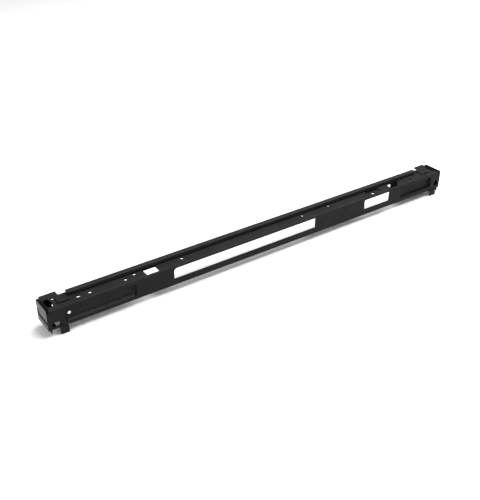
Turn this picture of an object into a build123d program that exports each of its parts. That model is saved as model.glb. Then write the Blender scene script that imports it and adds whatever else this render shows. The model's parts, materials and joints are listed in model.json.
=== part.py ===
"""Cabinet drawer slide: a folded sheet carrier beam with a ball-borne runner on its top flange.

The row frame's origin is the lower front corner of the front end: the web's outer face is Y = 0,
its lower edge is Z = 0, the front end's outer face is X = 0 and the beam runs towards +X.
The drawer pulls out towards -X. All sizes are millimetres.
"""

from build123d import *
import os

# Driving dimensions of the carrier beam
LENGTH = 600.0
HEIGHT = 24.4
SHEET = 1.8
BEND = 2.2
INNER_BEND = 0.5
FLANGE_DEPTH = 24.8
EAR_DEPTH = 32.7
FRONT_EAR = 23.9
REAR_EAR = 20.5

# End plates and the pads on their outer faces; the seam between the pads is Y and Z points
PAD = 0.4
PLATE = 2.4
PLATE_DEPTH = 28.5
PLATE_TOP = 25.8
END_IN = PAD + PLATE
FLANGE_GAPS = (1.4, 0.3)
BACK_RETURN = 16.5
BASE_RETURN = 10.2
RETURN_SHEET = 1.6
SEAM = ((0, 8.7), (23.7, 9.3), (26.0, 13.5), (PLATE_DEPTH, 15.9))
SEAM_HALF = 1.9

# Hook brackets under the ends
HOOK_SHEET = 1.2
HOOK_REACH = 8.4
HOOK_PROUD = 1.7
TOOTH_REACH = 4.2
TOOTH_LENGTH = 7.0
HOOK_PLATE_END = 26.0
FRONT_TAB = (12.7, 22.5)
REAR_TAB = (8.0, 18.6)

# Guide rail and runner, stacked on the flange around one centre line
RAIL_Y = 19.1
RAIL_START, RAIL_END = 41.0, 563.0
RAIL_BASE = 0.8
RAIL_BASE_WIDTH = 6.2
CORE_WIDTH = 2.7
CORE_TOP = HEIGHT + 3.1
RUNNER_START, RUNNER_END = 31.0, 565.0
OVERHANG = 5.0
TOP_WIDTH = 7.0
RUNNER_WIDTH = 6.6
RUNNER_TOP = HEIGHT + 4.6
RUNNER_BASE = HEIGHT + 1.7
RUNNER_SKIN = 0.8
RUNNER_WALL = 0.6
LIP = 0.5
LIP_REACH = 1.3
GROOVE_HEIGHT, GROOVE_DEPTH = 0.9, 0.3
BEAD = 0.6
NOSE_RADIUS = 2.6

# Ball rows between the rail and the runner
BALL_RADIUS = 0.75
BALL_OUT = 1.9
BALL_Z = HEIGHT + 3.0
BALL_PITCH = 10.0
BALLS_PER_ROW = 12
CAGE_START, CAGE_END = 240.8, 366.8
CAGE_SHEET = 0.3
CAGE_TOP = HEIGHT + 3.6
CAGE_DROP = 1.15
FIT = 0.05

# Spring latches near both ends
LATCH_SHIFT = 553.4
LEVER_X = (17.6, 31.0)
LEVER_Y = (8.6, 21.6)
LEVER_Z = (HEIGHT + 0.2, HEIGHT + 1.4)
CUTOUT_X = (17.0, 31.4)
CUTOUT_Y = (8.2, 22.0)
PIVOT_X, PIVOT_Z = 29.6, HEIGHT - 3.0
PIN_RADIUS = 0.8
BARREL_RADIUS = 1.5
HOUSING_X = (18.0, 32.5)
HOUSING_Y = (7.0, 23.2)
HOUSING_BASE = 16.0
HOUSING_SHEET = 1.0
SPRING_X, SPRING_Y = 25.4, 15.1
SPRING_RADIUS = 1.5
SPRING_WIRE = 0.25

# Openings of the web, as X and Z spans
FRONT_PANEL = (20.0, 106.6, 4.8, 20.0)
REAR_PANEL = (521.5, 582.0, 5.6, 21.0)
LONG_WINDOW = (155.5, 367.5, 7.5, 21.8)
SHORT_WINDOW = (453.0, 499.5, 7.6, 21.7)
FRONT_SLOT = (4.7, 13.8, 2.5, 8.3)
REAR_SLOT = (589.4, 597.2, 4.4, 12.4)
WINDOW_CORNERS = (((155.5, 21.8), 4.0), ((453.0, 21.7), 2.0), ((499.5, 7.6), 1.2))
WEB_HOLE = (26.1, 12.9)
WEB_HOLE_RADIUS = 2.0
RIBS = ((0.1, 0.05, 0.85), (1.3, 1.2, 2.2))
PANEL_DISH = 0.4

# The rear pocket's floor slopes back from one depth to the other
POCKET_DEPTHS = (2.4, 4.2)
POCKET_SHEET = 0.8
POCKET_HOLE = (577.5, 10.9)
POCKET_HOLE_RADIUS = 1.6
BACK_PLATE = ((525.5, 579.0), (23.4, FLANGE_DEPTH), (5.0, HEIGHT - SHEET))

# Openings of the top flange, as X and Y
TOP_SLOTS = (((8.6, 15.3), (16.6, 7.4)), ((594.1, 15.5), (16.2, 3.6)))
FRONT_OPENING = (122.4, 138.9, 3.2, 15.3)
REAR_OPENING = ((505.3, 3.3), (516.5, 3.3), (528.5, 14.8), (510.0, 14.8), (505.3, 11.0))
SCREW_HOLES = ((54.7, 9.5), (98.1, 9.5), (173.0, 12.1), (354.3, 12.1))
ROUND_HOLES = ((111.2, 13.7), (399.6, 13.7))
WIDE_HOLE = (473.3, 6.6)
SMALL_HOLES = ((15.9, 20.8), (547.3, 8.7))
SCREW_HOLE_RADIUS, WIDE_HOLE_RADIUS, SMALL_HOLE_RADIUS = 2.2, 2.7, 1.9
KEY_SLOT = (40.8, 9.4, 5.6, 4.0)
DETENT_PAD = (465.5, 488.5, 9.8, 15.9)
DETENT_TAIL = (485.8, 489.2, 5.8, 10.4)
DETENT_TOP = HEIGHT - 1.3

RIVET_RADIUS, RIVET_HEAD, RIVET_HEAD_HEIGHT = 0.7, 1.6, 0.9
RIVET_X, RIVETS_Y = 5.6, (17.0, 23.0)
RAIL_RIVETS_X = (60.0, 150.0, 250.0, 350.0, 450.0, 550.0)

MIDDLE = Plane.YZ.offset(LENGTH / 2)
os.makedirs("parts", exist_ok=True)


def block(x_span, y_span, z_span, mode=Mode.ADD):
    """A rectangular block between the given spans, in the part being built."""
    low = (x_span[0], y_span[0], z_span[0])
    size = (x_span[1] - x_span[0], y_span[1] - y_span[0], z_span[1] - z_span[0])
    with Locations(low):
        Box(*size, align=(Align.MIN, Align.MIN, Align.MIN), mode=mode)


def panel_shape(panel, grow=0.0, radius=2.5, mode=Mode.ADD):
    """A round-cornered rectangle for an opening given as two spans, in the sketch being built."""
    x_low, x_high, z_low, z_high = panel
    with Locations(((x_low + x_high) / 2, (z_low + z_high) / 2)):
        RectangleRounded(x_high - x_low + 2 * grow, z_high - z_low + 2 * grow, radius, mode=mode)


def detent_shape():
    """The outline of the detent pad and its tail, in the sketch being built."""
    panel_shape(DETENT_PAD, radius=2.0)
    panel_shape(DETENT_TAIL, radius=0.8)


# --- carrier beam -------------------------------------------------------------------------
with BuildPart() as beam:
    with BuildSketch(Plane.YZ.offset(PAD)) as section:
        under = HEIGHT - SHEET
        Polygon(
            (0, 0),
            (SHEET, 0),
            (SHEET, under),
            (FLANGE_DEPTH, under),
            (FLANGE_DEPTH, HEIGHT),
            (0, HEIGHT),
        )
        fillet(section.vertices().sort_by_distance((0, HEIGHT, 0))[0], BEND)
        fillet(section.vertices().sort_by_distance((SHEET, under, 0))[0], INNER_BEND)
    extrude(amount=LENGTH - 2 * PAD)
    flange_from, flange_to = END_IN + FLANGE_GAPS[0], LENGTH - END_IN - FLANGE_GAPS[1]
    block((flange_from, FRONT_EAR), (FLANGE_DEPTH, EAR_DEPTH), (under, HEIGHT))
    block((LENGTH - REAR_EAR, flange_to), (FLANGE_DEPTH, EAR_DEPTH), (under, HEIGHT))
    ear_corners = beam.edges().filter_by(Axis.Z).group_by(Axis.Y)[-1]
    fillet(ear_corners, 1.2)
    # the flange stops short of the end plates, and each corner has a relief notch
    for gap_x in ((0, flange_from), (flange_to, LENGTH)):
        block(gap_x, (SHEET, EAR_DEPTH + 1), (under - INNER_BEND, HEIGHT), Mode.SUBTRACT)
    for notch_x in ((0, PAD + 2.4), (LENGTH - PAD - 2.4, LENGTH)):
        block(notch_x, (-1, SHEET + 1), (HEIGHT - 2.8, HEIGHT + 1), Mode.SUBTRACT)
    block((FRONT_TAB[1], FRONT_TAB[1] + 1.6), (-1, SHEET + 1), (-1, 1.6), Mode.SUBTRACT)

    # openings through the top flange
    with BuildSketch(Plane.XY.offset(HEIGHT)):
        for slot_centre, slot_size in TOP_SLOTS:
            with Locations(slot_centre):
                SlotOverall(*slot_size, rotation=90)
        panel_shape(FRONT_OPENING, radius=0.8)
        Polygon(*REAR_OPENING)
        panel_shape((*CUTOUT_X, *CUTOUT_Y), radius=0.8)
        panel_shape((CUTOUT_X[0] + LATCH_SHIFT, CUTOUT_X[1] + LATCH_SHIFT, *CUTOUT_Y), radius=0.8)
        detent_shape()
        with Locations(*SCREW_HOLES, *ROUND_HOLES):
            Circle(SCREW_HOLE_RADIUS)
        with Locations(WIDE_HOLE):
            Circle(WIDE_HOLE_RADIUS)
        with Locations(*SMALL_HOLES):
            Circle(SMALL_HOLE_RADIUS)
        with Locations(KEY_SLOT[:2]):
            SlotOverall(*KEY_SLOT[2:])
        with Locations(*[(x, RAIL_Y) for x in RAIL_RIVETS_X]):
            Circle(RIVET_RADIUS)
    extrude(amount=-SHEET, mode=Mode.SUBTRACT)

    # openings through the web
    with BuildSketch(Plane.XZ):
        panel_shape(FRONT_PANEL)
        panel_shape(REAR_PANEL)
        panel_shape(FRONT_SLOT, radius=2.0)
        panel_shape(REAR_SLOT, radius=2.0)
    extrude(amount=-SHEET, mode=Mode.SUBTRACT)
    with BuildSketch(Plane.XZ) as windows:
        for x_low, x_high, z_low, z_high in (LONG_WINDOW, SHORT_WINDOW):
            with Locations(((x_low + x_high) / 2, (z_low + z_high) / 2)):
                Rectangle(x_high - x_low, z_high - z_low)
        for corner, radius in WINDOW_CORNERS:
            fillet(windows.vertices().sort_by_distance((*corner, 0))[0], radius)
    extrude(amount=-SHEET, mode=Mode.SUBTRACT)
beam.part.label = "beam"
export_step(beam.part, "parts/beam.step")

# --- end plates, each with a back return and a base return --------------------------------
with BuildPart() as front_end_plate:
    block((PAD, END_IN), (SHEET, PLATE_DEPTH), (0, PLATE_TOP))
    fillet(front_end_plate.edges().filter_by(Axis.X).group_by(Axis.Z)[-1], 1.2)
    block((PAD, BACK_RETURN), (PLATE_DEPTH - RETURN_SHEET, PLATE_DEPTH), (0, HEIGHT - SHEET))
    block((PAD, BASE_RETURN), (SHEET, PLATE_DEPTH), (0, RETURN_SHEET))
    with Locations((RIVET_X, RIVETS_Y[0], 0), (RIVET_X, RIVETS_Y[1], 0)):
        Cylinder(RIVET_RADIUS, 4 * RETURN_SHEET, mode=Mode.SUBTRACT)
front_end_plate.part.label = "front_end_plate"
export_step(front_end_plate.part, "parts/front_end_plate.step")

with BuildPart() as rear_end_plate:
    mirror(front_end_plate.part, about=MIDDLE)
rear_end_plate.part.label = "rear_end_plate"
export_step(rear_end_plate.part, "parts/rear_end_plate.step")


def seam_points(side):
    """The seam's points moved by half its width, to one side (+1 is up, -1 is down)."""
    move = side * SEAM_HALF
    first, *bends, last = SEAM
    middle_points = [(y - move, z + move) for y, z in bends]
    return [(first[0], first[1] + move), *middle_points, (last[0], last[1] + move)]


with BuildPart() as front_upper_pad:
    with BuildSketch(Plane.YZ) as upper_face:
        Polygon(*seam_points(1), (PLATE_DEPTH, PLATE_TOP), (0, PLATE_TOP))
        for corner_y in (0, PLATE_DEPTH):
            fillet(upper_face.vertices().sort_by_distance((corner_y, PLATE_TOP, 0))[0], 1.2)
    extrude(amount=PAD)
front_upper_pad.part.label = "front_upper_pad"
export_step(front_upper_pad.part, "parts/front_upper_pad.step")

with BuildPart() as front_lower_pad:
    with BuildSketch(Plane.YZ):
        Polygon(*seam_points(-1), (PLATE_DEPTH, 0), (0, 0))
    extrude(amount=PAD)
front_lower_pad.part.label = "front_lower_pad"
export_step(front_lower_pad.part, "parts/front_lower_pad.step")

with BuildPart() as rear_upper_pad:
    mirror(front_upper_pad.part, about=MIDDLE)
rear_upper_pad.part.label = "rear_upper_pad"
export_step(rear_upper_pad.part, "parts/rear_upper_pad.step")

with BuildPart() as rear_lower_pad:
    mirror(front_lower_pad.part, about=MIDDLE)
rear_lower_pad.part.label = "rear_lower_pad"
export_step(rear_lower_pad.part, "parts/rear_lower_pad.step")


# --- hook brackets: a base plate with a hanging tab and a tooth ---------------------------
def hook_bracket(tab):
    """The bracket of the front end, with its tab between the two given distances."""
    with BuildPart() as bracket:
        base_z = (-HOOK_SHEET, 0)
        block((END_IN, HOOK_PLATE_END), (3.0, PLATE_DEPTH - RETURN_SHEET), base_z)
        block((BASE_RETURN, 17.0), (3.0, 14.0), base_z, Mode.SUBTRACT)
        block(tab, (-HOOK_PROUD, 5.0), base_z)
        block(tab, (-HOOK_PROUD, HOOK_SHEET - HOOK_PROUD), (-HOOK_REACH, 0))
        top_edges = bracket.edges().filter_by(Axis.X)
        fillet(top_edges.sort_by_distance(((tab[0] + tab[1]) / 2, -HOOK_PROUD, 0))[0], 1.1)
        tab_corners = bracket.edges().filter_by(Axis.Y).group_by(Axis.Z)[0]
        fillet(tab_corners, 0.3)
        block((END_IN, END_IN + HOOK_SHEET), (0.2, TOOTH_LENGTH), (-TOOTH_REACH, 0))
        with Locations((RIVET_X, RIVETS_Y[0], 0), (RIVET_X, RIVETS_Y[1], 0)):
            Cylinder(RIVET_RADIUS, 4 * HOOK_SHEET, mode=Mode.SUBTRACT)
    return bracket.part


with BuildPart() as front_hook_bracket:
    add(hook_bracket(FRONT_TAB))
front_hook_bracket.part.label = "front_hook_bracket"
export_step(front_hook_bracket.part, "parts/front_hook_bracket.step")

with BuildPart() as rear_hook_bracket:
    mirror(hook_bracket(REAR_TAB), about=MIDDLE)
rear_hook_bracket.part.label = "rear_hook_bracket"
export_step(rear_hook_bracket.part, "parts/rear_hook_bracket.step")

with BuildPart() as bracket_rivets:
    for end_x in (RIVET_X, LENGTH - RIVET_X):
        for rivet_y in RIVETS_Y:
            with BuildSketch(Plane.XY.offset(-HOOK_SHEET)):
                with Locations((end_x, rivet_y)):
                    Circle(RIVET_RADIUS)
            extrude(amount=HOOK_SHEET + RETURN_SHEET)
            for head_z in (-HOOK_SHEET - RIVET_HEAD_HEIGHT, RETURN_SHEET):
                with BuildSketch(Plane.XY.offset(head_z)):
                    with Locations((end_x, rivet_y)):
                        Circle(RIVET_HEAD)
                extrude(amount=RIVET_HEAD_HEIGHT)
bracket_rivets.part.label = "bracket_rivets"
export_step(bracket_rivets.part, "parts/bracket_rivets.step")

# --- plates behind the web's openings -----------------------------------------------------
with BuildPart() as front_backing_plate:
    with BuildSketch(Plane.XZ.offset(-SHEET)):
        panel_shape(FRONT_PANEL, grow=1.9)
        with Locations(WEB_HOLE):
            Circle(WEB_HOLE_RADIUS, mode=Mode.SUBTRACT)
    extrude(amount=-HOOK_SHEET)
    # a shallow dish behind the opening, and two raised ribs along the bottom of it
    dish_z = (FRONT_PANEL[2] + RIBS[-1][2], FRONT_PANEL[3])
    block(FRONT_PANEL[:2], (SHEET, SHEET + PANEL_DISH), dish_z, Mode.SUBTRACT)
    for rib_front, rib_low, rib_high in RIBS:
        rib_z = (FRONT_PANEL[2] + rib_low, FRONT_PANEL[2] + rib_high)
        block((FRONT_PANEL[0] + 3, FRONT_PANEL[1] - 3), (rib_front, SHEET), rib_z)
front_backing_plate.part.label = "front_backing_plate"
export_step(front_backing_plate.part, "parts/front_backing_plate.step")


def pocket_wedge(grow, mode):
    """The pocket's sloping room, grown by the sheet for its outside."""
    x_low, x_high, z_low, z_high = REAR_PANEL
    shallow, deep = (depth + grow for depth in POCKET_DEPTHS)
    left, right = x_low - grow, x_high + grow
    with BuildSketch(Plane.XY.offset(z_low - grow)) as room:
        Polygon((left, SHEET), (right, SHEET), (right, deep), (left, shallow))
    extrude(room.sketch, amount=z_high - z_low + 2 * grow, mode=mode)


with BuildPart() as rear_pocket_tray:
    pocket_wedge(POCKET_SHEET, Mode.ADD)
    pocket_wedge(0, Mode.SUBTRACT)
    with BuildSketch(Plane.XZ.offset(-SHEET)):
        with Locations(POCKET_HOLE):
            Circle(POCKET_HOLE_RADIUS)
    extrude(amount=-8, mode=Mode.SUBTRACT)
rear_pocket_tray.part.label = "rear_pocket_tray"
export_step(rear_pocket_tray.part, "parts/rear_pocket_tray.step")

with BuildPart() as rear_back_plate:
    block(*BACK_PLATE)
    fillet(rear_back_plate.edges().filter_by(Axis.Y).group_by(Axis.Z)[0], 2.0)
rear_back_plate.part.label = "rear_back_plate"
export_step(rear_back_plate.part, "parts/rear_back_plate.step")

with BuildPart() as rear_detent_pad:
    with BuildSketch(Plane.XY.offset(HEIGHT - SHEET)):
        detent_shape()
    extrude(amount=DETENT_TOP - HEIGHT + SHEET)
rear_detent_pad.part.label = "rear_detent_pad"
export_step(rear_detent_pad.part, "parts/rear_detent_pad.step")

# --- guide rail fixed to the flange -------------------------------------------------------
with BuildPart() as guide_rail:
    base_y = (RAIL_Y - RAIL_BASE_WIDTH / 2, RAIL_Y + RAIL_BASE_WIDTH / 2)
    core_y = (RAIL_Y - CORE_WIDTH / 2, RAIL_Y + CORE_WIDTH / 2)
    block((RAIL_START, RAIL_END), base_y, (HEIGHT, HEIGHT + RAIL_BASE))
    block((RAIL_START, RAIL_END), core_y, (HEIGHT, CORE_TOP))
    with BuildSketch(Plane.YZ.offset(RAIL_START)):
        with Locations((RAIL_Y - BALL_OUT, BALL_Z), (RAIL_Y + BALL_OUT, BALL_Z)):
            Circle(BALL_RADIUS + FIT)
    extrude(amount=RAIL_END - RAIL_START, mode=Mode.SUBTRACT)
    with BuildSketch(Plane.XY.offset(HEIGHT)):
        with Locations(*[(x, RAIL_Y) for x in RAIL_RIVETS_X]):
            Circle(RIVET_RADIUS)
    extrude(amount=2.0, mode=Mode.SUBTRACT)
guide_rail.part.label = "guide_rail"
export_step(guide_rail.part, "parts/guide_rail.step")

with BuildPart() as rail_rivets:
    with BuildSketch(Plane.XY.offset(HEIGHT - SHEET - RIVET_HEAD_HEIGHT)):
        with Locations(*[(x, RAIL_Y) for x in RAIL_RIVETS_X]):
            Circle(RIVET_HEAD)
    extrude(amount=RIVET_HEAD_HEIGHT)
    with BuildSketch(Plane.XY.offset(HEIGHT - SHEET)):
        with Locations(*[(x, RAIL_Y) for x in RAIL_RIVETS_X]):
            Circle(RIVET_RADIUS)
    extrude(amount=SHEET + 2.0)
rail_rivets.part.label = "rail_rivets"
export_step(rail_rivets.part, "parts/rail_rivets.step")

with BuildPart() as front_bumper:
    block((RAIL_START - 2.5, RAIL_START), core_y, (HEIGHT, CORE_TOP + 0.4))
    block((RAIL_START - 2.5, RAIL_START + 4.1), (RAIL_Y - 2.3, RAIL_Y + 2.3), (26.9, CORE_TOP + 0.4))
    block((RAIL_START, RAIL_START + 6), core_y, (HEIGHT, CORE_TOP), Mode.SUBTRACT)
front_bumper.part.label = "front_bumper"
export_step(front_bumper.part, "parts/front_bumper.step")

# --- runner: a channel whose lips reach under the balls -----------------------------------
runner_half = RUNNER_WIDTH / 2
channel_low, channel_high = RUNNER_BASE + LIP, RUNNER_TOP - RUNNER_SKIN
with BuildPart() as drawer_runner:
    with BuildSketch(Plane.YZ.offset(RUNNER_START + OVERHANG)):
        with Locations((RAIL_Y, (RUNNER_BASE + channel_high) / 2)):
            Rectangle(RUNNER_WIDTH, channel_high - RUNNER_BASE)
        with Locations((RAIL_Y, (channel_low + channel_high) / 2)):
            Rectangle(RUNNER_WIDTH - 2 * RUNNER_WALL, channel_high - channel_low, mode=Mode.SUBTRACT)
        with Locations((RAIL_Y, RUNNER_BASE)):
            Rectangle(RUNNER_WIDTH - 2 * LIP_REACH, 3 * LIP, mode=Mode.SUBTRACT)
        bead_height = channel_high - GROOVE_HEIGHT - RUNNER_BASE
        for bead_y in (RAIL_Y - runner_half - BEAD / 2, RAIL_Y + runner_half + BEAD / 2):
            with Locations((bead_y, RUNNER_BASE + bead_height / 2)):
                Rectangle(BEAD, bead_height)
        # a groove above each rolled edge
        for edge_y in (RAIL_Y - runner_half, RAIL_Y + runner_half):
            with Locations((edge_y, channel_high - GROOVE_HEIGHT / 2)):
                Rectangle(2 * GROOVE_DEPTH, GROOVE_HEIGHT, mode=Mode.SUBTRACT)
    extrude(amount=RUNNER_END - RUNNER_START - OVERHANG - NOSE_RADIUS / 2)
    # the top, rounded in plan, runs on past both ends of the rolled edges
    with BuildSketch(Plane.XY.offset(channel_high)):
        with Locations(((RUNNER_START + RUNNER_END) / 2, RAIL_Y)):
            RectangleRounded(RUNNER_END - RUNNER_START, TOP_WIDTH, NOSE_RADIUS)
    extrude(amount=RUNNER_SKIN)
drawer_runner.part.label = "drawer_runner"
export_step(drawer_runner.part, "parts/drawer_runner.step")

inside_y = (RAIL_Y - runner_half + RUNNER_WALL, RAIL_Y + runner_half - RUNNER_WALL)
with BuildPart() as runner_nose_cap:
    cap_from = RUNNER_START + OVERHANG + 0.9
    block((cap_from, cap_from + 1.3), inside_y, (channel_low, channel_high))
runner_nose_cap.part.label = "runner_nose_cap"
export_step(runner_nose_cap.part, "parts/runner_nose_cap.step")

with BuildPart() as runner_rear_stops:
    stop_x = (RUNNER_END - 2.9, RUNNER_END - 1.5)
    block(stop_x, (inside_y[0], inside_y[0] + 1.0), (channel_low, channel_high))
    block(stop_x, (inside_y[1] - 1.0, inside_y[1]), (channel_low, channel_high))
runner_rear_stops.part.label = "runner_rear_stops"
export_step(runner_rear_stops.part, "parts/runner_rear_stops.step")

# --- ball cage and its two rows of balls --------------------------------------------------
first_ball = (CAGE_START + CAGE_END) / 2 - BALL_PITCH * (BALLS_PER_ROW - 1) / 2
ball_centres = [
    (first_ball + BALL_PITCH * step, RAIL_Y + side * BALL_OUT, BALL_Z)
    for step in range(BALLS_PER_ROW)
    for side in (-1, 1)
]
with BuildPart() as ball_cage:
    cage_half = BALL_OUT + CAGE_SHEET / 2
    block(
        (CAGE_START, CAGE_END), (RAIL_Y - cage_half, RAIL_Y + cage_half), (CAGE_TOP - CAGE_SHEET, CAGE_TOP)
    )
    for side in (-1, 1):
        leg = RAIL_Y + side * BALL_OUT
        leg_y = (leg - CAGE_SHEET / 2, leg + CAGE_SHEET / 2)
        block((CAGE_START, CAGE_END), leg_y, (CAGE_TOP - CAGE_DROP, CAGE_TOP))
    with Locations(*ball_centres):
        Sphere(BALL_RADIUS + 2 * FIT, mode=Mode.SUBTRACT)
ball_cage.part.label = "ball_cage"
export_step(ball_cage.part, "parts/ball_cage.step")

with BuildPart() as bearing_balls:
    with Locations(*ball_centres):
        Sphere(BALL_RADIUS)
bearing_balls.part.label = "bearing_balls"
export_step(bearing_balls.part, "parts/bearing_balls.step")


# --- spring latches: housing, pin, lever and spring ---------------------------------------
def latch_housing():
    with BuildPart() as housing:
        housing_z = (HOUSING_BASE, HEIGHT - SHEET)
        block(HOUSING_X, HOUSING_Y, housing_z)
        inner_y = (HOUSING_Y[0] + HOUSING_SHEET, HOUSING_Y[1] - HOUSING_SHEET)
        room_x = (HOUSING_X[0] - 1, HOUSING_X[1] + 1)
        block(room_x, inner_y, (HOUSING_BASE + HOUSING_SHEET, HEIGHT), Mode.SUBTRACT)
        with BuildSketch(Plane.XZ.offset(-HOUSING_Y[0])):
            with Locations((PIVOT_X, PIVOT_Z)):
                Circle(PIN_RADIUS)
        extrude(amount=HOUSING_Y[0] - HOUSING_Y[1], mode=Mode.SUBTRACT)
    return housing.part


def latch_pin():
    with BuildPart() as pin:
        with BuildSketch(Plane.XZ.offset(-HOUSING_Y[0])):
            with Locations((PIVOT_X, PIVOT_Z)):
                Circle(PIN_RADIUS)
        extrude(amount=HOUSING_Y[0] - HOUSING_Y[1])
    return pin.part


def latch_lever():
    with BuildPart() as lever:
        block(LEVER_X, LEVER_Y, LEVER_Z)
        fillet(lever.edges().filter_by(Axis.Z), 0.4)
        fillet(lever.edges().group_by(Axis.Z)[-1], 0.3)
        block((LEVER_X[0], LEVER_X[0] + 1), LEVER_Y, (HEIGHT - 3.4, LEVER_Z[0] + 0.4))
        barrel_y = (HOUSING_Y[0] + HOUSING_SHEET + 0.6, HOUSING_Y[1] - HOUSING_SHEET - 0.6)
        with BuildSketch(Plane.XZ.offset(-barrel_y[0])):
            with Locations((PIVOT_X, PIVOT_Z)):
                Circle(BARREL_RADIUS)
            with Locations((PIVOT_X, (PIVOT_Z + LEVER_Z[0]) / 2 + 0.1)):
                Rectangle(2.0, LEVER_Z[0] - PIVOT_Z + 0.2)
            with Locations((PIVOT_X, PIVOT_Z)):
                Circle(PIN_RADIUS + FIT, mode=Mode.SUBTRACT)
        extrude(amount=barrel_y[0] - barrel_y[1])
    return lever.part


def latch_spring():
    spring_low = HOUSING_BASE + HOUSING_SHEET + SPRING_WIRE
    spring_high = LEVER_Z[0] - SPRING_WIRE - 0.1
    height = spring_high - spring_low
    with BuildPart() as spring:
        with BuildLine(Plane((SPRING_X, SPRING_Y, spring_low))) as coil:
            Helix(pitch=height / 5.5, height=height, radius=SPRING_RADIUS)
        with BuildSketch(Plane(coil.line @ 0, z_dir=coil.line % 0)):
            Circle(SPRING_WIRE)
        sweep(is_frenet=True)
    return spring.part


rear_shift = Location((LATCH_SHIFT, 0, 0))
for piece_name, make_piece in (
    ("latch_housing", latch_housing),
    ("latch_pin", latch_pin),
    ("latch_lever", latch_lever),
    ("latch_spring", latch_spring),
):
    shape = make_piece()
    with BuildPart() as front_piece:
        add(shape)
    front_piece.part.label = f"front_{piece_name}"
    export_step(front_piece.part, f"parts/front_{piece_name}.step")
    with BuildPart() as rear_piece:
        add(shape.moved(rear_shift))
    rear_piece.part.label = f"rear_{piece_name}"
    export_step(rear_piece.part, f"parts/rear_{piece_name}.step")
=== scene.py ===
# %% [markdown]
# # A cabinet drawer slide in black-coated steel
# A long folded beam carries a small runner on its top flange. The solid model brings every piece in
# place, so the lesson is about looks: thin powder coat over sheet metal, ground balls and springs,
# and soft studio light that lets a nearly black part still show its edges.

# %% Load the frame
import bpy
import bmesh
import json
import math
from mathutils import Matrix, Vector


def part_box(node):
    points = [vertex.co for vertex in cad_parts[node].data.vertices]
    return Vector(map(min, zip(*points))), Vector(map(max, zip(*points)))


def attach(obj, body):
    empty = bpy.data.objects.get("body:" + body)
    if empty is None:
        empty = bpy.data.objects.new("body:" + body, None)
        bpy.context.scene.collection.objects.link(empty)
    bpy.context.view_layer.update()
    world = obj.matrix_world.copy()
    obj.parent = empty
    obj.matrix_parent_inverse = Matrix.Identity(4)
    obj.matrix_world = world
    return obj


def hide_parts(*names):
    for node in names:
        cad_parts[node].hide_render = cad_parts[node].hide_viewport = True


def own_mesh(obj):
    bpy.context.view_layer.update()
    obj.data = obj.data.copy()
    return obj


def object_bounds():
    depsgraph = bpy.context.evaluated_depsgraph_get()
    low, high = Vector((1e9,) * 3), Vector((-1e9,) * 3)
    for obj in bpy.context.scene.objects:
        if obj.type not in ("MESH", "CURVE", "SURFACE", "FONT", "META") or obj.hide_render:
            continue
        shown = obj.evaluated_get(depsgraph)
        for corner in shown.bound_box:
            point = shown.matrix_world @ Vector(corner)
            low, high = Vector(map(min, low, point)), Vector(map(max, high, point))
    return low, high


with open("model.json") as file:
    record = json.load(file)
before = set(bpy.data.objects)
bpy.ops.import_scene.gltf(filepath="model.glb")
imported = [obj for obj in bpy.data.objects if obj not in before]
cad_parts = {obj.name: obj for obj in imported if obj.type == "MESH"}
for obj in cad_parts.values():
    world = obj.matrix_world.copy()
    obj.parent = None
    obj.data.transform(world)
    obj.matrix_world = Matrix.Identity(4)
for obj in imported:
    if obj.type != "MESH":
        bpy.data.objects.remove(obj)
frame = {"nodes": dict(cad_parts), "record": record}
nodes = frame["nodes"]
cad_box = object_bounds()
MM = 0.001

# %% [markdown]
# ## Where the parts are
# The beam's own box gives its length, height and depth. Everything that is added later takes its
# place from boxes like this one, so it still fits if the solid model grows.

# %% Read the main sizes
beam_low, beam_high = (Vector(corner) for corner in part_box("beam"))
runner_low, runner_high = (Vector(corner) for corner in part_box("drawer_runner"))
beam_size = beam_high - beam_low
print(f"beam {beam_size.x / MM:.1f} mm long, {beam_size.z / MM:.1f} mm high")

# %% [markdown]
# ## The camera
# A long lens from the front left and above keeps the beam nearly parallel, with a little
# perspective towards the far end. It stands two thirds of a metre in front of the web.

# %% Make the camera
LENS = 54.1
VIEW_DOWN = math.radians(31.11)
VIEW_ACROSS = math.radians(35.08)
camera_data = bpy.data.cameras.new("camera")
camera_data.lens = LENS
camera_data.sensor_width = 36.0
camera_data.clip_start, camera_data.clip_end = 0.01, 50
camera = bpy.data.objects.new("camera", camera_data)
camera.location = (-200.6 * MM, -638.6 * MM, 486.2 * MM)
camera.rotation_euler = (math.pi / 2 - VIEW_DOWN, 0, -VIEW_ACROSS)
bpy.context.scene.collection.objects.link(camera)
bpy.context.scene.camera = camera
print("camera at", tuple(round(v, 3) for v in camera.location))

# %% [markdown]
# ## The floor and the light
# Black parts read best on a white floor. One wide lamp overhead, a little towards the far end,
# makes the flange lighter than the web. A second on the left lights the end.

# %% Make the floor
FLOOR_HALF = 12.0
floor_material = bpy.data.materials.new("floor_white")
floor_material.use_nodes = True
floor_shader = floor_material.node_tree.nodes["Principled BSDF"]
floor_shader.inputs["Base Color"].default_value = (0.86, 0.86, 0.86, 1)
floor_shader.inputs["Roughness"].default_value = 0.9
floor_shader.inputs["Specular IOR Level"].default_value = 0.1
floor_mesh = bpy.data.meshes.new("floor")
floor_z = cad_box[0].z
floor_mesh.from_pydata(
    [(x * FLOOR_HALF, y * FLOOR_HALF, floor_z) for x, y in ((-1, -1), (1, -1), (1, 1), (-1, 1))],
    [],
    [(0, 1, 2, 3)],
)
floor = bpy.data.objects.new("floor", floor_mesh)
floor.data.materials.append(floor_material)
bpy.context.scene.collection.objects.link(floor)
print("floor at", round(floor_z / MM, 1), "mm")


# %% [markdown]
# ## Large lamps
# A black coat shows mostly what it reflects, so the lamps are wide squares: a wide lamp gives a flat
# face one even tone. The world adds a low even light that keeps the shadows soft.

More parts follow.
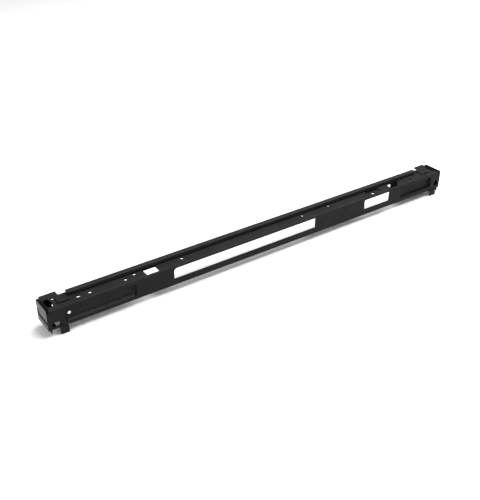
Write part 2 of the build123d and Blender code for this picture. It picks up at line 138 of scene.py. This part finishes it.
# %% Hang the lamps
def lamp(name, place, aim, size, power):
    """A square soft lamp at a place, turned to face a point."""
    data = bpy.data.lights.new(name, "AREA")
    data.size = size
    data.energy = power
    light = bpy.data.objects.new(name, data)
    light.location = place
    light.rotation_euler = (Vector(aim) - Vector(place)).to_track_quat("-Z", "Y").to_euler()
    bpy.context.scene.collection.objects.link(light)
    return light


middle = (cad_box[0] + cad_box[1]) / 2
towards_rear = middle + Vector((0.3, 0, 0))
lamp("overhead", place=(middle.x + 0.6, middle.y, 1.5), aim=towards_rear, size=1.4, power=50)
lamp("left", place=(-1.5, -0.2, 0.7), aim=middle, size=1.0, power=15)
world = bpy.data.worlds.new("studio")
world.use_nodes = True
world.node_tree.nodes["Background"].inputs["Color"].default_value = (1, 1, 1, 1)
world.node_tree.nodes["Background"].inputs["Strength"].default_value = 0.45
bpy.context.scene.world = world
bpy.context.scene.view_settings.view_transform = "Standard"


# %% [markdown]
# ## A coat that looks like a coat
# Powder coat is a plastic skin about a tenth of a millimetre thick. It has a fine orange peel, a
# faint cloudiness, and it rubs thin and a little lighter along folded edges. A bevelled normal
# differs from the true one only near an edge, so their difference marks where the rubbing is.

# %% Build the node helpers
def link(tree, source, target):
    tree.links.new(source, target)


def noise(tree, place, scale, detail=3.0, rough=0.55, stretch=(1, 1, 1)):
    """A noise value over the piece's own space, finer as the scale rises."""
    spread = tree.nodes.new("ShaderNodeVectorMath")
    spread.operation = "MULTIPLY"
    spread.inputs[1].default_value = stretch
    link(tree, place, spread.inputs[0])
    texture = tree.nodes.new("ShaderNodeTexNoise")
    texture.inputs["Scale"].default_value = scale
    texture.inputs["Detail"].default_value = detail
    texture.inputs["Roughness"].default_value = rough
    link(tree, spread.outputs[0], texture.inputs["Vector"])
    return texture.outputs["Fac"]


def ramp(tree, value, low, high, start=0.0, end=1.0):
    """Maps a span of a value onto another, clamped at both ends."""
    node = tree.nodes.new("ShaderNodeMapRange")
    node.inputs["From Min"].default_value = start
    node.inputs["From Max"].default_value = end
    node.inputs["To Min"].default_value = low
    node.inputs["To Max"].default_value = high
    link(tree, value, node.inputs["Value"])
    return node.outputs["Result"]


def mix_colour(tree, factor, first, second):
    node = tree.nodes.new("ShaderNodeMix")
    node.data_type = "RGBA"
    link(tree, factor, node.inputs["Factor"])
    for socket, colour in ((node.inputs[6], first), (node.inputs[7], second)):
        if isinstance(colour, tuple):
            socket.default_value = (*colour, 1)
        else:
            link(tree, colour, socket)
    return node.outputs[2]


def multiply(tree, first, second):
    node = tree.nodes.new("ShaderNodeMath")
    node.operation = "MULTIPLY"
    link(tree, first, node.inputs[0])
    link(tree, second, node.inputs[1])
    return node.outputs[0]


def edge_mask(tree, radius):
    """1 on the narrow band where an edge turns, 0 on flat faces."""
    bevel = tree.nodes.new("ShaderNodeBevel")
    bevel.samples = 4
    bevel.inputs["Radius"].default_value = radius
    geometry = tree.nodes.new("ShaderNodeNewGeometry")
    dot = tree.nodes.new("ShaderNodeVectorMath")
    dot.operation = "DOT_PRODUCT"
    link(tree, bevel.outputs["Normal"], dot.inputs[0])
    link(tree, geometry.outputs["Normal"], dot.inputs[1])
    return ramp(tree, dot.outputs["Value"], 1.0, 0.0, 0.86, 0.995)


print("node helpers ready")


# %% Write the coat
def grey(value, warm=0.0):
    return (value * (1 + warm), value, value * (1 - warm))


CLOUD_GRAIN, SPECK_GRAIN, PEEL_GRAIN = 38, 1500, 1100
EDGE_WIDTH = 0.35 * MM
MOST_RUBBED = 0.5


def coated(
    name,
    base,
    cloud,
    rough,
    peel_depth=0.00003,
    wear_and_highlight=0.03,
    shine=0.06,
    painted_seam_shade=None,
    rib_highlight_depth=None,
):
    """Powder coat: base and cloud are the darker and lighter greys, wear_and_highlight the lighter
    grey where edges wear and of painted highlights.
    With painted_seam_shade, faces that don't look along X, the pads' cut edges, get that dark grey
    as painted shade, so the seam between pads reads as a shadowed gap.
    With rib_highlight_depth, whatever stands in front of that depth gets a painted highlight in the
    wear_and_highlight grey."""
    material = bpy.data.materials.new(name)
    material.use_nodes = True
    tree = material.node_tree
    shader = tree.nodes["Principled BSDF"]
    place = tree.nodes.new("ShaderNodeTexCoord").outputs["Object"]
    clouds = noise(tree, place, CLOUD_GRAIN, 4, 0.6)
    specks = noise(tree, place, SPECK_GRAIN, 2, 0.7)
    body = mix_colour(tree, ramp(tree, clouds, 0.0, 1.0, 0.35, 0.68), grey(base), grey(cloud))
    dust = mix_colour(tree, ramp(tree, specks, 0.0, 0.35, 0.55, 0.8), body, grey(cloud * 1.5))
    patchy = ramp(tree, clouds, 0.1, MOST_RUBBED, 0.4, 0.7)
    edge_wear_and_highlight = multiply(tree, edge_mask(tree, EDGE_WIDTH), patchy)
    colour = mix_colour(tree, edge_wear_and_highlight, dust, grey(wear_and_highlight))
    # Painted shade: faces that don't look along X are darkened to the given grey, so the seams
    # between the end pads read as shadowed gaps.
    if painted_seam_shade is not None:
        axes = tree.nodes.new("ShaderNodeSeparateXYZ")
        link(tree, tree.nodes.new("ShaderNodeNewGeometry").outputs["Normal"], axes.inputs[0])
        along = multiply(tree, axes.outputs["X"], axes.outputs["X"])
        colour = mix_colour(tree, ramp(tree, along, 0.0, 1.0, 0.3, 0.7), grey(painted_seam_shade), colour)
    # Painted highlight: faces standing in front of the given depth are lightened to the edge grey,
    # standing in for light on the rib fronts.
    if rib_highlight_depth is not None:
        depth = tree.nodes.new("ShaderNodeSeparateXYZ")
        link(tree, place, depth.inputs[0])
        rib_highlight = ramp(tree, depth.outputs["Y"], 1.0, 0.0, rib_highlight_depth - 0.1 * MM, rib_highlight_depth)
        colour = mix_colour(tree, rib_highlight, colour, grey(wear_and_highlight))
    link(tree, colour, shader.inputs["Base Color"])
    gloss = ramp(tree, noise(tree, place, 120, 3), rough - 0.06, rough + 0.08, 0.3, 0.7)
    link(tree, gloss, shader.inputs["Roughness"])
    bump = tree.nodes.new("ShaderNodeBump")
    bump.inputs["Strength"].default_value = 0.35
    bump.inputs["Distance"].default_value = peel_depth
    link(tree, noise(tree, place, PEEL_GRAIN, 2, 0.5), bump.inputs["Height"])
    link(tree, bump.outputs["Normal"], shader.inputs["Normal"])
    shader.inputs["Specular IOR Level"].default_value = shine
    return material


coats = {
    "coated_sheet": coated("black_coat", 0.0122, 0.0162, 0.55, wear_and_highlight=0.034),
    # The grey end pads get painted shade on their cut edges.
    "coated_end": coated("grey_end_coat", 0.1, 0.115, 0.5, painted_seam_shade=0.012),
    "runner_coat": coated("rolled_black_coat", 0.012, 0.016, 0.48, peel_depth=0.00002, shine=0.12),
}
print("coats:", ", ".join(m.name for m in coats.values()))


# %% [markdown]
# ## Bare metal, nylon and rubber
# Small parts are drawn, ground or moulded. Their marks run one way: along a wire or around a turned
# pin. Stretching the noise along one axis gives those drawn lines with no picture at all.

# %% Write the metals
DRAWN_GRAIN, STAIN_GRAIN = 900, 90


def metal(name, base, bright, rough, stretch):
    """Bare steel: fine drawn lines between two greys, with dull stains over them."""
    material = bpy.data.materials.new(name)
    material.use_nodes = True
    tree = material.node_tree
    shader = tree.nodes["Principled BSDF"]
    place = tree.nodes.new("ShaderNodeTexCoord").outputs["Object"]
    lines = noise(tree, place, DRAWN_GRAIN, 3, 0.6, stretch)
    stain = noise(tree, place, STAIN_GRAIN, 4, 0.6)
    colour = mix_colour(tree, ramp(tree, lines, 0.0, 1.0, 0.3, 0.7), grey(base), grey(bright))
    dull = mix_colour(tree, ramp(tree, stain, 0.0, 0.5, 0.5, 0.75), colour, grey(base * 0.6, 0.05))
    link(tree, dull, shader.inputs["Base Color"])
    link(tree, ramp(tree, stain, rough - 0.05, rough + 0.1, 0.3, 0.7), shader.inputs["Roughness"])
    bump = tree.nodes.new("ShaderNodeBump")
    bump.inputs["Strength"].default_value = 0.25
    bump.inputs["Distance"].default_value = 0.00001
    link(tree, lines, bump.inputs["Height"])
    link(tree, bump.outputs["Normal"], shader.inputs["Normal"])
    shader.inputs["Metallic"].default_value = 1.0
    return material


def moulded(name, base, rough, grain, depth):
    """Nylon or rubber: an even dark body with a fine moulded grain."""
    material = bpy.data.materials.new(name)
    material.use_nodes = True
    tree = material.node_tree
    shader = tree.nodes["Principled BSDF"]
    place = tree.nodes.new("ShaderNodeTexCoord").outputs["Object"]
    flow = noise(tree, place, 160, 3, 0.6)
    colour = mix_colour(tree, ramp(tree, flow, 0.0, 1.0, 0.3, 0.7), grey(base), grey(base * 1.5))
    link(tree, colour, shader.inputs["Base Color"])
    link(tree, ramp(tree, flow, rough - 0.05, rough + 0.05, 0.3, 0.7), shader.inputs["Roughness"])
    bump = tree.nodes.new("ShaderNodeBump")
    bump.inputs["Strength"].default_value = 0.4
    bump.inputs["Distance"].default_value = depth
    link(tree, noise(tree, place, grain, 2, 0.5), bump.inputs["Height"])
    link(tree, bump.outputs["Normal"], shader.inputs["Normal"])
    return material


coats["bright_steel"] = metal("ground_steel", 0.5, 0.62, 0.22, (1, 1, 1))
coats["zinc_steel"] = metal("dark_zinc", 0.22, 0.32, 0.36, (0.15, 1, 1))
coats["black_plastic"] = moulded("black_nylon", 0.004, 0.5, 1400, 0.00002)
coats["black_rubber"] = moulded("black_rubber", 0.006, 0.7, 900, 0.00004)
print("finishes:", len(coats))

# %% [markdown]
# ## Finish every solid part
# Punched and folded sheet never has a razor edge: the coat rounds it. A weld joins the split
# corners that come with the solid mesh, and a bevel two tenths of a millimetre wide then catches
# the light. The shapes themselves stay exactly as they are. The end plates and the detent pad stand
# in shadow behind other pieces, and that shadow is painted into their coat as the deepest black.

# %% Give each node its finish
# The backing plate's coat carries painted highlights: its lighter edges and lighter rib fronts stand
# in for light lines along its ribs.
rib_highlight_coat = coated("black_coat_painted_rib_highlight", 0.0125, 0.0165, 0.55, wear_and_highlight=0.042, rib_highlight_depth=1.6 * MM)
# A darker copy of the black coat: painted shade for the end plates and the detent pad, which sit in
# shadow.
painted_shade_coat = coated("end_plate_painted_shade_coat", 0.0045, 0.006, 0.6, wear_and_highlight=0.01, shine=0.02)
own_finish = {
    "front_backing_plate": rib_highlight_coat,
    "front_end_plate": painted_shade_coat,
    "rear_end_plate": painted_shade_coat,
    "rear_detent_pad": painted_shade_coat,
}
slot_of = {row["node"]: row["material_slot"] for row in frame["record"]["subparts"]}
FINE_PIECES = ("bearing_balls", "ball_cage", "front_latch_spring", "rear_latch_spring")
for name, piece in nodes.items():
    piece.data.materials.clear()
    piece.data.materials.append(own_finish.get(name, coats[slot_of[name]]))
    weld = piece.modifiers.new("weld", "WELD")
    weld.merge_threshold = 0.000002
    if name not in FINE_PIECES:
        bevel = piece.modifiers.new("soft_edges", "BEVEL")
        bevel.width = 0.12 * MM
        bevel.segments = 2
        bevel.limit_method = "ANGLE"
        bevel.angle_limit = math.radians(50)
        bevel.use_clamp_overlap = True
        flat_faces = piece.modifiers.new("flat_faces", "WEIGHTED_NORMAL")
        flat_faces.keep_sharp = True
print("finished", len(nodes), "nodes")

# %% [markdown]
# ## Builders for curved pieces
# A few pieces have curves that a solid model keeps simple: rolled beads, domed heads, wound wire.
# Each new mesh stands inside the box of the solid piece that it takes over from, so three small
# builders are enough: a prism over a path, a turned solid, and a finish for either.

# %% Write the mesh builders
def piece_from(shape, name, finish, body, *old_nodes):
    """Turns a finished bmesh into a smooth piece that stands in for solid nodes and rides a body."""
    bmesh.ops.recalc_face_normals(shape, faces=shape.faces)
    mesh = bpy.data.meshes.new(name)
    shape.to_mesh(mesh)
    shape.free()
    mesh.shade_smooth()
    mesh.set_sharp_from_angle(angle=math.radians(40))
    mesh.materials.append(coats[finish])
    piece = bpy.data.objects.new(name, mesh)
    bpy.context.scene.collection.objects.link(piece)
    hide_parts(*old_nodes)
    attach(piece, body)
    return piece


def rounded_path(corners, steps=5):
    """Points along a closed path of (a, b, radius) corners, each turned by an arc."""
    points = []
    for index, (a, b, radius) in enumerate(corners):
        here = Vector((a, b))
        before = Vector(corners[index - 1][:2]) - here
        after = Vector(corners[(index + 1) % len(corners)][:2]) - here
        if radius == 0:
            points.append(here)
            continue
        start = here + before.normalized() * radius
        end = here + after.normalized() * radius
        for step in range(steps + 1):
            share = step / steps
            bend = (1 - share) ** 2 * start + 2 * share * (1 - share) * here + share**2 * end
            points.append(bend)
    return points


def add_prism(shape, path, low, high, place):
    """A prism over a closed path of points, from low to high; place turns (a, b, height) to xyz."""
    rings = [[shape.verts.new(place(p[0], p[1], level)) for p in path] for level in (low, high)]
    count = len(path)
    for index in range(count):
        after = (index + 1) % count
        shape.faces.new((rings[0][index], rings[0][after], rings[1][after], rings[1][index]))
    caps = [shape.faces.new(rings[0]), shape.faces.new(rings[1])]
    bmesh.ops.triangulate(shape, faces=caps)


def add_turned(shape, centre, profile, steps=36):
    """A turned solid about a vertical axis; the profile runs from the lowest point to the top."""
    rings = []
    for radius, height in profile:
        ring = []
        for step in range(steps if radius > 0 else 1):
            turn = 2 * math.pi * step / steps
            flat = Vector((math.cos(turn), math.sin(turn), 0)) * radius
            ring.append(shape.verts.new(centre + flat + Vector((0, 0, height))))
        rings.append(ring)
    for lower, upper in zip(rings, rings[1:]):
        for step in range(steps):
            after = (step + 1) % steps
            corners = [lower[step % len(lower)], lower[after % len(lower)]]
            corners += [upper[after % len(upper)], upper[step % len(upper)]]
            distinct = list(dict.fromkeys(corners))
            if len(distinct) > 2:
                shape.faces.new(distinct)


print("mesh builders ready")


# %% [markdown]
# ## The rolled runner
# The runner is rolled from one strip, so its beads are round and its nose is a half circle in plan.
# Two walls and a top plate, each a prism, say this better than one block: the groove between the
# top's edge and the bead is real depth and makes its own dark line.

# %% Roll the runner
TOP_SHEET, OVERHANG, TAIL = 0.8 * MM, 5.0 * MM, 1.3 * MM
BEAD_HALF, NECK_HALF, WALL_HALF, MOUTH_HALF = 3.9 * MM, 3.0 * MM, 2.7 * MM, 2.0 * MM
LIP, GROOVE = 0.5 * MM, 1.5 * MM
centre_y = (runner_low.y + runner_high.y) / 2
under_top = runner_high.z - TOP_SHEET
right_side = [
    (NECK_HALF, under_top, 0),
    (NECK_HALF, under_top - GROOVE, 0.2 * MM),
    (BEAD_HALF, under_top - GROOVE, 0.5 * MM),
    (BEAD_HALF, runner_low.z, 0.5 * MM),
    (MOUTH_HALF, runner_low.z, 0.1 * MM),
    (MOUTH_HALF, runner_low.z + LIP, 0.05 * MM),
    (WALL_HALF, runner_low.z + LIP, 0.05 * MM),
    (WALL_HALF, under_top, 0),
]
runner_mesh = bmesh.new()
for side in (-1, 1):
    wall = rounded_path([(centre_y + side * y, z, radius) for y, z, radius in right_side])
    add_prism(
        runner_mesh,
        wall,
        runner_low.x + OVERHANG,
        runner_high.x - TAIL,
        lambda y, z, x: (x, y, z),
    )
PLAN_RADIUS, TOP_HALF = 2.6 * MM, 3.5 * MM
plate_corners = [
    (runner_low.x, centre_y - TOP_HALF, PLAN_RADIUS),
    (runner_high.x, centre_y - TOP_HALF, PLAN_RADIUS),
    (runner_high.x, centre_y + TOP_HALF, PLAN_RADIUS),
    (runner_low.x, centre_y + TOP_HALF, PLAN_RADIUS),
]
add_prism(
    runner_mesh, rounded_path(plate_corners, 12), under_top, runner_high.z, lambda x, y, z: (x, y, z)
)
top_rim = [
    edge
    for edge in runner_mesh.edges
    if all(abs(v.co.z - runner_high.z) < 0.001 * MM for v in edge.verts)
    and edge.calc_face_angle(0) > 1.0
]
bmesh.ops.bevel(runner_mesh, geom=top_rim, offset=0.25 * MM, segments=3, affect="EDGES", profile=0.5)
rolled_runner = piece_from(runner_mesh, "rolled_runner", "runner_coat", "runner", "drawer_runner")
print("runner faces:", len(rolled_runner.data.polygons))

# %% [markdown]
# ## The bearing balls
# Ground balls are true spheres. Each is turned from a half circle, which puts its faces in even
# rows, and both rows take their place and size from the box of the solid balls.

# %% Grind the balls
ball_low, ball_high = (Vector(corner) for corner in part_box("bearing_balls"))
ball_radius = (ball_high.z - ball_low.z) / 2
BALLS_PER_ROW = 12
first_x, last_x = ball_low.x + ball_radius, ball_high.x - ball_radius
ball_mesh = bmesh.new()
for index in range(BALLS_PER_ROW):
    ball_x = first_x + (last_x - first_x) * index / (BALLS_PER_ROW - 1)
    for ball_y in (ball_low.y + ball_radius, ball_high.y - ball_radius):
        rows = [math.pi * (step / 16 - 0.5) for step in range(17)]
        outline = [(ball_radius * math.cos(turn), ball_radius * math.sin(turn)) for turn in rows]
        outline[0], outline[-1] = (0, -ball_radius), (0, ball_radius)
        add_turned(ball_mesh, Vector((ball_x, ball_y, ball_low.z + ball_radius)), outline, 28)
piece_from(ball_mesh, "ground_balls", "bright_steel", "retainer", "bearing_balls")
print("balls:", 2 * BALLS_PER_ROW, "of", round(2 * ball_radius / MM, 2), "mm")

# %% [markdown]
# ## The rivets
# A snapped rivet has a low dome with a short upright rim. One quarter of an ellipse, turned about
# the rivet's axis, makes every head, and the shank joins it in the same profile.

# %% Snap the rivets
HEAD, SHANK, HEAD_HEIGHT = 1.6 * MM, 0.7 * MM, 0.9 * MM
RIM_SHARE = 0.18
DOME_TURNS = [math.pi / 2 * step / 8 for step in range(9)]


def domed_head(z_face, side):
    """A head's profile from its flat face outwards; side is -1 when it hangs below the sheet."""
    rises = [RIM_SHARE + (1 - RIM_SHARE) * math.sin(turn) for turn in DOME_TURNS]
    dome = [(HEAD * math.cos(turn), HEAD_HEIGHT * rise) for turn, rise in zip(DOME_TURNS, rises)]
    points = [(HEAD, 0.0)] + dome[:-1] + [(0.0, HEAD_HEIGHT)]
    return [(radius, z_face + side * height) for radius, height in points]


rail_low, rail_high = (Vector(corner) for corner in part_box("rail_rivets"))
rivet_y = (rail_low.y + rail_high.y) / 2
RAIL_RIVETS = (60, 150, 250, 350, 450, 550)
rail_mesh = bmesh.new()
under_flange = rail_low.z + HEAD_HEIGHT
for rivet_x in RAIL_RIVETS:
    hanging = list(reversed(domed_head(under_flange, -1)))
    shank = [(SHANK, under_flange), (SHANK, rail_high.z), (0, rail_high.z)]
    add_turned(rail_mesh, Vector((rivet_x * MM, rivet_y, 0)), hanging + shank)
piece_from(rail_mesh, "snapped_rail_rivets", "zinc_steel", "carrier", "rail_rivets")
bracket_low, bracket_high = (Vector(corner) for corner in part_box("bracket_rivets"))
bracket_mesh = bmesh.new()
for rivet_x in (bracket_low.x + HEAD, bracket_high.x - HEAD):
    for rivet_y in (bracket_low.y + HEAD, bracket_high.y - HEAD):
        hanging = list(reversed(domed_head(bracket_low.z + HEAD_HEIGHT, -1)))
        standing = domed_head(bracket_high.z - HEAD_HEIGHT, 1)
        necks = [(SHANK, hanging[-1][1]), (SHANK, standing[0][1])]
        add_turned(bracket_mesh, Vector((rivet_x, rivet_y, 0)), hanging + necks + standing)
piece_from(bracket_mesh, "snapped_bracket_rivets", "zinc_steel", "carrier", "bracket_rivets")
print("rivets:", len(RAIL_RIVETS) + 4)

# %% [markdown]
# ## Wound springs
# A pressed lever shortens the coil spring under it. Each spring is wound as a round wire along a
# helix whose end turns lie flat.

# %% Wind the latch springs
TURNS, WIRE_STEPS, WIRE_SIDES = 5.5, 200, 10
WIRE_RADIUS = 0.25 * MM


def add_coil(shape, low, high):
    """A round wire wound up a vertical axis, in the box from low to high."""
    axis_x, axis_y = (low.x + high.x) / 2, (low.y + high.y) / 2
    radius = (high.x - low.x) / 2 - WIRE_RADIUS
    rise = high.z - low.z - 2 * WIRE_RADIUS
    rings = []
    for step in range(WIRE_STEPS + 1):
        share = step / WIRE_STEPS
        turn = 2 * math.pi * TURNS * share
        level = low.z + WIRE_RADIUS + rise * share**2 * (3 - 2 * share)
        outward = Vector((math.cos(turn), math.sin(turn), 0))
        centre = Vector((axis_x, axis_y, level)) + outward * radius
        ring = []
        for side in range(WIRE_SIDES):
            bend = 2 * math.pi * side / WIRE_SIDES
            reach = outward * math.cos(bend) + Vector((0, 0, math.sin(bend)))
            ring.append(shape.verts.new(centre + reach * WIRE_RADIUS))
        rings.append(ring)
    for lower, upper in zip(rings, rings[1:]):
        for side in range(WIRE_SIDES):
            after = (side + 1) % WIRE_SIDES
            shape.faces.new((lower[side], lower[after], upper[after], upper[side]))
    shape.faces.new(rings[0])
    shape.faces.new(rings[-1])


for end in ("front", "rear"):
    spring_low, spring_high = (Vector(corner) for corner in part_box(f"{end}_latch_spring"))
    coil_mesh = bmesh.new()
    add_coil(coil_mesh, spring_low, spring_high)
    coil = piece_from(
        coil_mesh, f"{end}_wound_spring", "bright_steel", "carrier", f"{end}_latch_spring"
    )
    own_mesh(coil)
    print(end, "spring", round((spring_high.z - spring_low.z) / MM, 1), "mm high")
